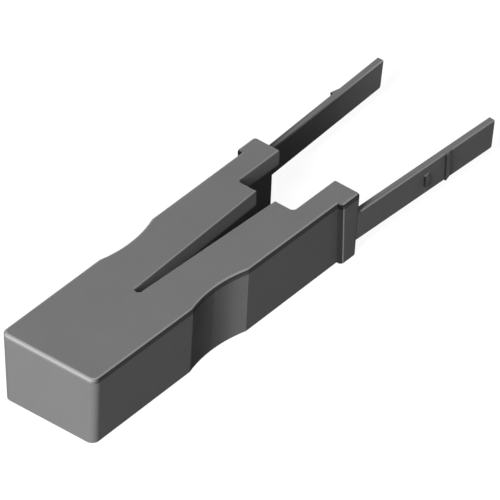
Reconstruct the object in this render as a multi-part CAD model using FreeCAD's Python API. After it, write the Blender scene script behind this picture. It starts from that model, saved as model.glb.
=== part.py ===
import FreeCAD, Part
import math
import os

from FreeCAD import Vector

# Switch removal tool: a squeeze handle and two prongs moulded in one piece.
# Y runs from the heel of the handle to the prong tips, X across, Z up from the table.
# All lengths are in millimetres and all angles in degrees.

# Handle seen from above
handle_length = 67.0
grip_width = 20.4
arm_width = 21.0
heel_corner_radius = 1.4
scallop_start = 24.4
scallop_length = 14.9
scallop_depth = 1.2
end_block_length = 4.9
end_block_step = 1.0
end_block_corner_radius = 0.7

# Handle seen from the side, with a top that falls slightly towards the prongs
heel_height = 14.0
end_height = 12.8

# Lean of every outer wall towards its foot, as moulded parts have
draft = 2.2

# Open underside
top_plate = 3.2
side_wall = 3.0
heel_wall = 3.4
hollow_corner_radius = 1.0

# V-shaped slot that parts the two arms
slot_end = 22.8
slot_end_radius = 0.65
mouth_width = 4.05
shoulder_setback = 10.9
lip_gap = 12.0
shoulder_radius = 0.8

# Prongs, which continue the outer faces of the end blocks
prong_reach = 33.0
prong_thickness = 1.3
prong_root_height = 5.65
prong_tip_height = 5.55
prong_drop = 4.1
prong_tip_lean = 5.5
prong_splay = 2.3
prong_root = 1.5
tip_corner_radius = 0.4

# Barbs on the outer face of each prong
ridge_from_tip = 12.2
ridge_length = 1.4
catch_from_tip = 17.3
catch_length = 1.4
catch_width = 2.2
barb_height = 0.42

# Edge rounds
outer_round = 0.6
inner_round = 0.22
prong_round = 0.2

# Extra length by which a cutter stands clear of the faces that it goes through
overrun = 1.0

# Places along the length, with the origin below the middle of the whole tool
overall_length = handle_length + prong_reach
heel_y = -overall_length / 2
end_y = heel_y + handle_length
step_y = end_y - end_block_length
scallop_y = heel_y + scallop_start + scallop_length / 2
slot_y = heel_y + slot_end
shoulder_y = end_y - shoulder_setback
block_half_width = arm_width / 2 + end_block_step
top_slope = math.asin((heel_height - end_height) / handle_length)
draft_rate = math.tan(math.radians(draft))
tip_rate = math.tan(math.radians(prong_tip_lean))
down = Vector(0, 0, -1)


def both_sides(right_side):
    """Outline points from those of the right side, given from the heel onwards."""
    return right_side + [Vector(-point.x, point.y, point.z) for point in reversed(right_side)]


def polygon_face(points):
    return Part.Face(Part.makePolygon(points + points[:1]))


def prism(points, top_z, depth):
    solid = polygon_face(points).extrude(Vector(0, 0, -depth))
    solid.translate(Vector(0, 0, top_z))
    return solid


def drafted_prism(outline, depth):
    """Solid below z = 0 whose walls all lean in by the draft angle."""
    top = outline(0, 0)
    foot = outline(depth * draft_rate, -depth)
    walls = [polygon_face([top[i - 1], top[i], foot[i], foot[i - 1]]) for i in range(len(top))]
    return Part.Solid(Part.Shell([polygon_face(top), polygon_face(foot)] + walls))


def handle_outline(inset, z):
    return both_sides([
        Vector(grip_width / 2 - inset, heel_y + inset, z),
        Vector(grip_width / 2 - inset, scallop_y, z),
        Vector(arm_width / 2 - inset, scallop_y, z),
        Vector(arm_width / 2 - inset, step_y + inset, z),
        Vector(block_half_width - inset, step_y + inset, z),
        Vector(block_half_width - inset, end_y - inset, z),
    ])


def scallop(depth):
    """Cone that hollows the right side where the fingers hold the tool."""
    radius = (scallop_length ** 2 / 4 + scallop_depth ** 2) / (2 * scallop_depth)
    centre = Vector(arm_width / 2 - scallop_depth + radius, scallop_y, overrun)
    height = depth + 2 * overrun
    top_radius = radius - overrun * draft_rate
    return Part.makeCone(top_radius, top_radius + height * draft_rate, height, centre, down)


def upright_edges(shape, near_x, near_y):
    """Edges that run down the walls from the point of the top outline given, on either side."""
    def is_near(edge):
        highest = max((vertex.Point for vertex in edge.Vertexes), key=lambda point: point.z)
        return math.hypot(abs(highest.x) - near_x, highest.y - near_y) < 1e-3

    return [edge for edge in shape.Edges if edge.BoundBox.ZLength > heel_height / 2 and is_near(edge)]


def top_edges(shape):
    """Edges that lie in the top plane, which is z = 0 until the tool is set on the table."""
    return [edge for edge in shape.Edges if abs(edge.BoundBox.ZMin) < 1e-6 and abs(edge.BoundBox.ZMax) < 1e-6]


def handle_block():
    """Handle without its slot and its hollow."""
    depth = heel_height + overrun
    block = drafted_prism(handle_outline, depth)
    block = block.makeFillet(heel_corner_radius, upright_edges(block, grip_width / 2, heel_y))
    for corner_y in (step_y, end_y):
        block = block.makeFillet(end_block_corner_radius, upright_edges(block, block_half_width, corner_y))
    right_scallop = scallop(depth)
    left_scallop = right_scallop.mirror(Vector(0, 0, 0), Vector(1, 0, 0))
    block = block.cut(right_scallop).cut(left_scallop)
    return block.makeFillet(outer_round, top_edges(block))


def hollow():
    """Room under the top plate, open below and at the arm ends."""
    half_width = arm_width / 2 - side_wall
    start_y = heel_y + heel_wall
    outline = both_sides([
        Vector(half_width, start_y, 0),
        Vector(half_width, end_y + overrun, 0),
    ])
    room = prism(outline, -top_plate, heel_height + overrun)
    corners = [edge for edge in room.Edges if edge.BoundBox.ZLength > heel_height and edge.BoundBox.YMax < end_y]
    return room.makeFillet(hollow_corner_radius, corners)


def slot():
    """V-shaped slot with a round closed end, and the wider gap between the lips."""
    centre = Vector(0, slot_y + slot_end_radius, 0)
    mouth = Vector(mouth_width / 2, shoulder_y, 0)
    reach = mouth - centre
    half_angle = math.atan2(reach.x, reach.y) - math.asin(slot_end_radius / reach.Length)
    tangent = centre + Vector(math.cos(half_angle), -math.sin(half_angle), 0) * slot_end_radius
    v_slot = prism(both_sides([tangent, mouth, mouth + Vector(0, overrun, 0)]), overrun, top_plate + 2 * overrun)
    round_end = Part.makeCylinder(slot_end_radius, top_plate + 2 * overrun, centre + Vector(0, 0, overrun), down)
    gap_outline = both_sides([
        Vector(lip_gap / 2, shoulder_y, 0),
        Vector(lip_gap / 2, end_y + overrun, 0),
    ])
    gap = prism(gap_outline, overrun, top_plate + 2 * overrun)
    corners = [edge for edge in gap.Edges if edge.BoundBox.ZLength > top_plate and edge.BoundBox.YMax < end_y]
    gap = gap.makeFillet(shoulder_radius, corners)
    return round_end.fuse([v_slot, gap]).removeSplitter()


def is_slot_edge(edge):
    return edge.BoundBox.XMax < lip_gap / 2 + inner_round and edge.BoundBox.XMin > -lip_gap / 2 - inner_round


def handle():
    body = handle_block().cut(hollow()).cut(slot())
    return body.makeFillet(inner_round, [edge for edge in top_edges(body) if is_slot_edge(edge)])


def prong_outline(inset, z):
    """Plan of the right prong, its root at y = 0 and its outer face along x = 0."""
    ridge_y = prong_reach - ridge_from_tip
    return [
        Vector(-inset, -prong_root, z),
        Vector(-inset, ridge_y, z),
        Vector(barb_height - inset, ridge_y, z),
        Vector(-inset, ridge_y + ridge_length, z),
        Vector(-inset, prong_reach, z),
        Vector(inset - prong_thickness, prong_reach, z),
        Vector(inset - prong_thickness, -prong_root, z),
    ]


def prong_side():
    """Cutter with the side view of the prong, which narrows to a tip with a rounded lower corner."""
    half_width = prong_thickness + barb_height
    side_view = polygon_face([
        Vector(-half_width, -prong_root, overrun),
        Vector(-half_width, prong_reach, overrun),
        Vector(-half_width, prong_reach, 0),
        Vector(-half_width, prong_reach - prong_tip_height * tip_rate, -prong_tip_height),
        Vector(-half_width, 0, -prong_root_height),
        Vector(-half_width, -prong_root, -prong_root_height),
    ])
    side = side_view.extrude(Vector(2 * half_width, 0, 0))
    tip_edge = [
        edge for edge in side.Edges
        if edge.BoundBox.YMin > prong_reach / 2 and edge.BoundBox.ZMax < -prong_tip_height / 2
    ]
    return side.makeFillet(tip_corner_radius, tip_edge)


def catch():
    """Small barb, a little nearer the handle than the ridge and halfway up the prong."""
    start_y = prong_reach - catch_from_tip
    middle_z = -(prong_root_height + prong_tip_height) / 4
    plan = [
        Vector(-prong_thickness / 2, start_y, 0),
        Vector(barb_height, start_y, 0),
        Vector(0, start_y + catch_length, 0),
        Vector(-prong_thickness / 2, start_y + catch_length, 0),
    ]
    barb = prism(plan, middle_z + catch_width / 2, catch_width)
    barb.rotate(Vector(0, 0, 0), Vector(0, 1, 0), draft)
    return barb


def is_long_top_edge(edge):
    return edge.BoundBox.YLength > ridge_length * 2


def prong():
    """Right prong in place under the top plane, splayed outwards."""
    body = drafted_prism(prong_outline, prong_root_height + overrun).common(prong_side())
    body = body.makeFillet(prong_round, [edge for edge in top_edges(body) if is_long_top_edge(edge)])
    body = body.fuse(catch())
    body.rotate(Vector(0, 0, 0), Vector(0, 0, 1), -prong_splay)
    body.translate(Vector(block_half_width - prong_drop * draft_rate, end_y, -prong_drop))
    return body


def tool_body():
    """The whole tool, set down on its flat underside."""
    right_prong = prong()
    left_prong = right_prong.mirror(Vector(0, 0, 0), Vector(1, 0, 0))
    body = handle().fuse([right_prong, left_prong])
    body.rotate(Vector(0, heel_y, 0), Vector(1, 0, 0), -math.degrees(top_slope))
    body.translate(Vector(0, 0, heel_height))
    corner = Vector(-2 * block_half_width, heel_y - overrun, 0)
    above_table = Part.makeBox(4 * block_half_width, overall_length + 2 * overrun, 2 * heel_height, corner)
    return body.common(above_table).removeSplitter().Solids[0]


os.makedirs("parts", exist_ok=True)
tool_body().exportStep("parts/tool_body.step")
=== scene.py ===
import math

import bpy
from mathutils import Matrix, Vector


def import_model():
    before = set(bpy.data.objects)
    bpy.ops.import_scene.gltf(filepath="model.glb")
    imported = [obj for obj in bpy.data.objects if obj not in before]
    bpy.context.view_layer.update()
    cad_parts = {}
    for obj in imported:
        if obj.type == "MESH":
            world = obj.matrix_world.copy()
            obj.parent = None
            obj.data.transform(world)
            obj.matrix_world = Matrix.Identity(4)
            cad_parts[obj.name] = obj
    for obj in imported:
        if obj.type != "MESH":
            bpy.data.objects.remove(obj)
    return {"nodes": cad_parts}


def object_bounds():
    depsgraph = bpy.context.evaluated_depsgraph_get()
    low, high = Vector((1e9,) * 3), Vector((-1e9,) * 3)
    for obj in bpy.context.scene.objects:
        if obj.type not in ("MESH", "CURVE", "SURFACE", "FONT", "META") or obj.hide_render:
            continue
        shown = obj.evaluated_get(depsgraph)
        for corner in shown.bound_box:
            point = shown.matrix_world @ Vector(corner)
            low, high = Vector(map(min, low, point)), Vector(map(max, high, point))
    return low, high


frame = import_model()
cad_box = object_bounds()

# Camera: the photograph is a parallel projection, seen from above the heel and the right side
AZIMUTH = 40.0
ELEVATION = 39.65
PICTURE_PIXELS = 500
PIXELS_PER_METRE = 6056
HEEL_PIXEL = (47.4, 422.1)
CAMERA_DISTANCE = 0.6

# Lamps: azimuth and elevation in degrees, width and height in metres, and power in watts
LAMP_DISTANCE = 1.5
LAMPS = {
    "key": (11.2, 30.0, (0.35, 1.2), 35.2),
    "back": (225.0, 12.0, (1.0, 1.0), 9.0),
    "rear": (162.0, 8.0, (1.0, 1.0), 3.4),
}

# White surroundings, which light the object only faintly
WORLD_FILL = 0.05
WORLD_WHITE = 1.0
FLOOR_SIZE = 4.0
FLOOR_LEVEL = -0.00005
FLOOR_FILL = 0.05
FLOOR_SHADOW = 0.16
FLOOR_GLOW = 1.1

# Plastic, its grey as a linear value
PLASTIC_GREY = 0.2
SPECKLE_SHARE = 0.35
SHINE = 0.02

# Factors that paint light and shade into the grey round the edges, each curve given as stops with a place
# from 0 to 1 and a factor
HIGHEST_FACTOR = 4.0

# Painted highlights on the crests of the rounds along the top and painted shade on the flanks of the side
# rounds, by the share of the surface that faces up
SIDE_ROUND = [
    (0.0, 1.0), (0.06, 0.75), (0.2, 0.35), (0.5, 0.23),
    (0.72, 0.19), (0.8, 1.5), (0.97, 1.5), (0.995, 1.0),
]
HEEL_ROUND = [
    (0.02, 1.0), (0.2, 1.5), (0.4, 2.5), (0.72, 3.0),
    (0.79, 2.7), (0.87, 1.5), (0.92, 1.1), (1.0, 1.0),
]
FINE_ROUND = [(0.05, 1.0), (0.2, 1.5), (0.97, 1.5), (0.995, 1.0)]

# Painted shade on the side walls and a painted highlight on the heel just under those rounds, by the depth
# below the top face as a share of the reach
SIDE_BAND = [(0.48, 1.0), (0.58, 0.42), (0.85, 0.42), (1.0, 1.0)]
HEEL_BAND = [(0.48, 1.0), (0.6, 1.4), (1.0, 1.0)]
BAND_REACH = 0.001

# Painted shade at the step of the end blocks and behind the barbs, with a painted highlight along the
# blocks' outer corners, by the share that faces the heel
STEP_FACE = [(0.12, 1.0), (0.2, 1.5), (0.4, 1.5), (0.5, 0.22), (0.8, 0.14)]
STEP_TOP = [(0.05, 1.0), (0.2, 0.6), (0.4, 0.4), (0.6, 0.22), (0.8, 0.14)]
UPWARD_SHARE = 0.3

# Painted light on the slopes of the barbs, by the share that faces the tips
BARB_SLOPE = [(0.12, 1.0), (0.2, 2.4), (0.4, 2.4), (0.5, 1.0)]

# Painted shade in the finger scallops, by their turn from the heel to the tips
SCALLOP = [(0.2, 1.0), (0.27, 0.93), (0.45, 0.85), (0.57, 0.78), (0.68, 0.72), (0.78, 0.58), (0.93, 0.36)]
SCALLOP_TURN = 0.32

# Painted shade near the roots and painted light near the tips of the inner faces of the prongs, by the
# share of their reach from root to tip
INNER_FACE = [(0.0, 0.22), (0.5, 0.54), (1.0, 1.4)]

# Painted shade in the hollow and at the foot of the slot's walls, below this depth
HOLLOW_SHADE = 0.5
HOLLOW_DEPTH = 0.0029

# Top face, which falls slightly from the heel to the prongs
HEEL_Y = cad_box[0][1]
HEEL_HEIGHT = cad_box[1][2]
TOP_SLOPE = 0.0179

# Places on the tool that tell its faces apart, in metres
SLOT_START = -0.03
SLOT_HALF_WIDTH = 0.007
SCALLOP_START = -0.0246
SCALLOP_END = -0.0107
HOLLOW_HALF_WIDTH = 0.0076
BLOCK_START = 0.01
STEP_FOOT = 0.0095
HANDLE_END = 0.0171
PRONG_REACH = 0.033


def grey(level):
    return (level, level, level, 1.0)


class Graph:
    """Shader nodes of a material or a world. Terms are the outputs of other nodes or plain values."""

    def __init__(self, tree):
        self.nodes = tree.nodes
        self.links = tree.links
        self.nodes.clear()

    def node(self, kind, terms=None):
        """New node, its input sockets fed by the terms given for their names or numbers."""
        made = self.nodes.new(kind)
        for key, term in (terms or {}).items():
            if isinstance(term, bpy.types.NodeSocket):
                self.links.new(term, made.inputs[key])
            else:
                made.inputs[key].default_value = term
        return made

    def maths(self, operation, first, second=0.0):
        node = self.node("ShaderNodeMath", {0: first, 1: second})
        node.operation = operation
        return node.outputs["Value"]

    def product(self, *terms):
        total = terms[0]
        for term in terms[1:]:
            total = self.maths("MULTIPLY", total, term)
        return total

    def highest(self, *terms):
        total = terms[0]
        for term in terms[1:]:
            total = self.maths("MAXIMUM", total, term)
        return total

    def blend(self, share, first, second):
        """Number that goes from the first to the second as the share goes from 0 to 1."""
        node = self.node("ShaderNodeMix", {"Factor": share, "A": first, "B": second})
        return node.outputs["Result"]

    def ramp(self, value, stops):
        """Factor on the straight-line curve through the stops."""
        curve = self.node("ShaderNodeValToRGB", {"Fac": value})
        points = curve.color_ramp.elements
        while len(points) < len(stops):
            points.new(0.5)
        for point, (place, factor) in zip(points, stops):
            point.position = place
            point.color = grey(factor / HIGHEST_FACTOR)
        return self.product(curve.outputs["Color"], HIGHEST_FACTOR)

    def split(self, vector):
        return self.node("ShaderNodeSeparateXYZ", {"Vector": vector}).outputs

    def noise(self, place, scale, detail):
        texture = self.node("ShaderNodeTexNoise", {"Vector": place, "Scale": scale, "Detail": detail})
        return texture.outputs["Fac"]

    def spread(self, value, low, high):
        """Maps the middle of a noise onto the range from low to high."""
        terms = {"Value": value, "From Min": 0.3, "From Max": 0.7, "To Min": low, "To Max": high}
        return self.node("ShaderNodeMapRange", terms).outputs["Result"]

    def bump(self, height, distance, strength, below=None):
        terms = {"Height": height, "Distance": distance, "Strength": strength}
        if below is not None:
            terms["Normal"] = below
        return self.node("ShaderNodeBump", terms).outputs["Normal"]

    def diffuse(self, level):
        return self.node("ShaderNodeBsdfDiffuse", {"Color": grey(level)}).outputs["BSDF"]

    def background(self, strength):
        node = self.node("ShaderNodeBackground", {"Color": grey(1.0), "Strength": strength})
        return node.outputs["Background"]

    def mixed(self, share, first, second):
        """Shader that goes from the first to the second as the share goes from 0 to 1."""
        return self.node("ShaderNodeMixShader", {"Fac": share, 1: first, 2: second}).outputs["Shader"]

    def seen(self):
        """One where the camera looks directly, by reflection or through something clear."""
        path = self.node("ShaderNodeLightPath").outputs
        return self.highest(path["Is Camera Ray"], path["Is Glossy Ray"], path["Is Transmission Ray"])


def new_material(name):
    material = bpy.data.materials.new(name)
    material.use_nodes = True
    return material, Graph(material.node_tree)


def painted_light_and_shade(graph, place):
    """Factor on the grey that paints highlights onto some edges and faces and paints shade onto others."""
    face_x, face_y, face_z = graph.split(graph.node("ShaderNodeNewGeometry").outputs["Normal"])
    x, y, z = graph.split(place)
    across = graph.maths("ABSOLUTE", x)
    past_handle = graph.maths("GREATER_THAN", y, HANDLE_END)
    past_slot_start = graph.maths("GREATER_THAN", y, SLOT_START)
    slot_edge = graph.product(graph.maths("LESS_THAN", across, SLOT_HALF_WIDTH), past_slot_start)
    heel_share = graph.product(face_y, face_y, graph.maths("LESS_THAN", y, SLOT_START))

    # Rounds along the top edges: painted highlights on their crests and painted shade on the flanks of the
    # side rounds
    fine = graph.highest(slot_edge, past_handle)
    rounds = graph.blend(fine, graph.ramp(face_z, SIDE_ROUND), graph.ramp(face_z, FINE_ROUND))
    rounds = graph.blend(heel_share, rounds, graph.ramp(face_z, HEEL_ROUND))

    # Walls just under those rounds: painted shade on the sides and a painted highlight at the heel
    fall = graph.product(graph.maths("SUBTRACT", y, HEEL_Y), TOP_SLOPE)
    top_level = graph.maths("SUBTRACT", HEEL_HEIGHT, fall)
    depth = graph.maths("SUBTRACT", top_level, z)
    depth_share = graph.maths("DIVIDE", depth, BAND_REACH)
    bands = graph.blend(heel_share, graph.ramp(depth_share, SIDE_BAND), graph.ramp(depth_share, HEEL_BAND))
    bands = graph.blend(slot_edge, bands, 1.0)

    # Steps of the end blocks and the barbs: painted shade on the faces towards the heel, a painted
    # highlight on the blocks' outer corners, and painted light on the barbs' slopes
    past_block_start = graph.maths("GREATER_THAN", y, BLOCK_START)
    outer_side = graph.product(graph.maths("GREATER_THAN", across, STEP_FOOT), past_block_start)
    towards_heel = graph.product(face_y, -1.0, outer_side)
    faces_up = graph.maths("GREATER_THAN", face_z, UPWARD_SHARE)
    steps = graph.blend(faces_up, graph.ramp(towards_heel, STEP_FACE), graph.ramp(towards_heel, STEP_TOP))
    slopes = graph.ramp(graph.product(face_y, past_handle), BARB_SLOPE)

    # Finger scallops: painted shade, darker where they turn towards the tips
    in_scallop = graph.product(
        graph.maths("GREATER_THAN", across, HOLLOW_HALF_WIDTH),
        graph.maths("GREATER_THAN", y, SCALLOP_START),
        graph.maths("LESS_THAN", y, SCALLOP_END),
        graph.maths("LESS_THAN", face_z, UPWARD_SHARE),
    )
    turn = graph.maths("DIVIDE", graph.maths("ADD", face_y, SCALLOP_TURN), 2 * SCALLOP_TURN)
    scallops = graph.blend(in_scallop, 1.0, graph.ramp(turn, SCALLOP))

    # Hollow, seen through the slot and between the lips: painted shade
    in_hollow = graph.product(
        graph.maths("LESS_THAN", across, HOLLOW_HALF_WIDTH),
        graph.maths("GREATER_THAN", depth, HOLLOW_DEPTH),
        graph.maths("LESS_THAN", y, HANDLE_END),
        past_slot_start,
    )
    hollow = graph.blend(in_hollow, 1.0, HOLLOW_SHADE)

    # Inner faces of the prongs: painted shade near the roots and painted light near the tips
    faces_inward = graph.maths("LESS_THAN", graph.product(face_x, x), 0.0)
    along = graph.maths("DIVIDE", graph.maths("SUBTRACT", y, HANDLE_END), PRONG_REACH)
    inner_faces = graph.blend(graph.product(faces_inward, past_handle), 1.0, graph.ramp(along, INNER_FACE))
    return graph.product(rounds, bands, steps, slopes, scallops, hollow, inner_faces)


def moulded_plastic():
    """Matt grey plastic with the fine spark-eroded grain of a mould and faint cloudiness, its grey
    carrying painted highlights and painted shade.
    """
    material, graph = new_material("moulded_grey_plastic")
    place = graph.node("ShaderNodeTexCoord").outputs["Object"]

    cloud = graph.noise(place, scale=90.0, detail=3.0)
    speckle = graph.noise(place, scale=2600.0, detail=2.0)
    cloud_grey = graph.spread(cloud, 0.96 * PLASTIC_GREY, 1.04 * PLASTIC_GREY)
    speckle_grey = graph.spread(speckle, 0.93 * PLASTIC_GREY, 1.07 * PLASTIC_GREY)
    # The grey is multiplied by painted highlights and painted shade round the edges, steps, scallops,
    # hollow and prongs
    painted_grey = graph.product(graph.blend(SPECKLE_SHARE, cloud_grey, speckle_grey), painted_light_and_shade(graph, place))
    colour = graph.node("ShaderNodeCombineColor", {"Red": painted_grey, "Green": painted_grey, "Blue": painted_grey})

    rub = graph.noise(place, scale=260.0, detail=4.0)
    wave = graph.bump(graph.noise(place, scale=55.0, detail=1.0), distance=0.0001, strength=0.15)
    grain = graph.noise(place, scale=4200.0, detail=2.0)
    shader = graph.node("ShaderNodeBsdfPrincipled", {
        "Base Color": colour.outputs["Color"],
        "Roughness": graph.spread(rub, 0.5, 0.62),
        "Specular IOR Level": SHINE,
        "Normal": graph.bump(grain, distance=0.00001, strength=0.5, below=wave),
    })
    graph.node("ShaderNodeOutputMaterial", {"Surface": shader.outputs["BSDF"]})
    return material


def floor():
    """Plain pale floor: white in the picture, with part of the object's own soft shadow."""
    material, graph = new_material("floor_white")
    glow = graph.node("ShaderNodeEmission", {"Color": grey(1.0), "Strength": FLOOR_GLOW})
    white = graph.mixed(FLOOR_SHADOW, glow.outputs["Emission"], graph.diffuse(1.0))
    shown = graph.mixed(graph.seen(), graph.diffuse(FLOOR_FILL), white)
    graph.node("ShaderNodeOutputMaterial", {"Surface": shown})

    bpy.ops.mesh.primitive_plane_add(size=FLOOR_SIZE, location=(0.0, 0.0, FLOOR_LEVEL))
    plane = bpy.context.object
    plane.name = "floor"
    plane.data.materials.append(material)


def world():
    """Soft studio light that looks white and lights the object with a faint fill."""
    studio = bpy.data.worlds.new("studio")
    bpy.context.scene.world = studio
    studio.use_nodes = True
    graph = Graph(studio.node_tree)
    shown = graph.mixed(graph.seen(), graph.background(WORLD_FILL), graph.background(WORLD_WHITE))
    graph.node("ShaderNodeOutputWorld", {"Surface": shown})


def direction(azimuth, elevation):
    """Unit vector from the object towards a viewer or a lamp."""
    a = math.radians(azimuth)
    e = math.radians(elevation)
    return Vector((math.sin(a) * math.cos(e), -math.cos(a) * math.cos(e), math.sin(e)))


def area_light(name, azimuth, elevation, size, power):
    """Soft lamp aimed at the object, its direction given as for the camera."""
    data = bpy.data.lights.new(name, "AREA")
    data.shape = "RECTANGLE"
    data.size, data.size_y = size
    data.energy = power
    lamp = bpy.data.objects.new(name, data)
    bpy.context.scene.collection.objects.link(lamp)
    lamp.location = direction(azimuth, elevation) * LAMP_DISTANCE
    lamp.rotation_euler = (-lamp.location).to_track_quat("-Z", "Y").to_euler()


def camera():
    """Parallel camera that puts the foot of the heel's middle where the photograph has it."""
    data = bpy.data.cameras.new("camera")
    data.type = "ORTHO"
    data.ortho_scale = PICTURE_PIXELS / PIXELS_PER_METRE
    data.clip_end = 10.0
    eye = bpy.data.objects.new("camera", data)
    bpy.context.scene.collection.objects.link(eye)
    towards = direction(AZIMUTH, ELEVATION)
    rotation = towards.to_track_quat("Z", "Y")
    eye.rotation_euler = rotation.to_euler()
    right = rotation @ Vector((1.0, 0.0, 0.0))
    up = rotation @ Vector((0.0, 1.0, 0.0))
    heel_foot = Vector((0.0, HEEL_Y, 0.0))
    middle = PICTURE_PIXELS / 2
    across = (middle - HEEL_PIXEL[0]) / PIXELS_PER_METRE
    upwards = (HEEL_PIXEL[1] - middle) / PIXELS_PER_METRE
    eye.location = heel_foot + right * across + up * upwards + towards * CAMERA_DISTANCE
    bpy.context.scene.camera = eye


def dress_tool():
    plastic = moulded_plastic()
    for slot in frame["nodes"]["tool_body"].material_slots:
        slot.material = plastic


dress_tool()
floor()
world()
for lamp_name, settings in LAMPS.items():
    area_light(lamp_name, *settings)
camera()

bpy.context.scene.view_settings.view_transform = "Standard"
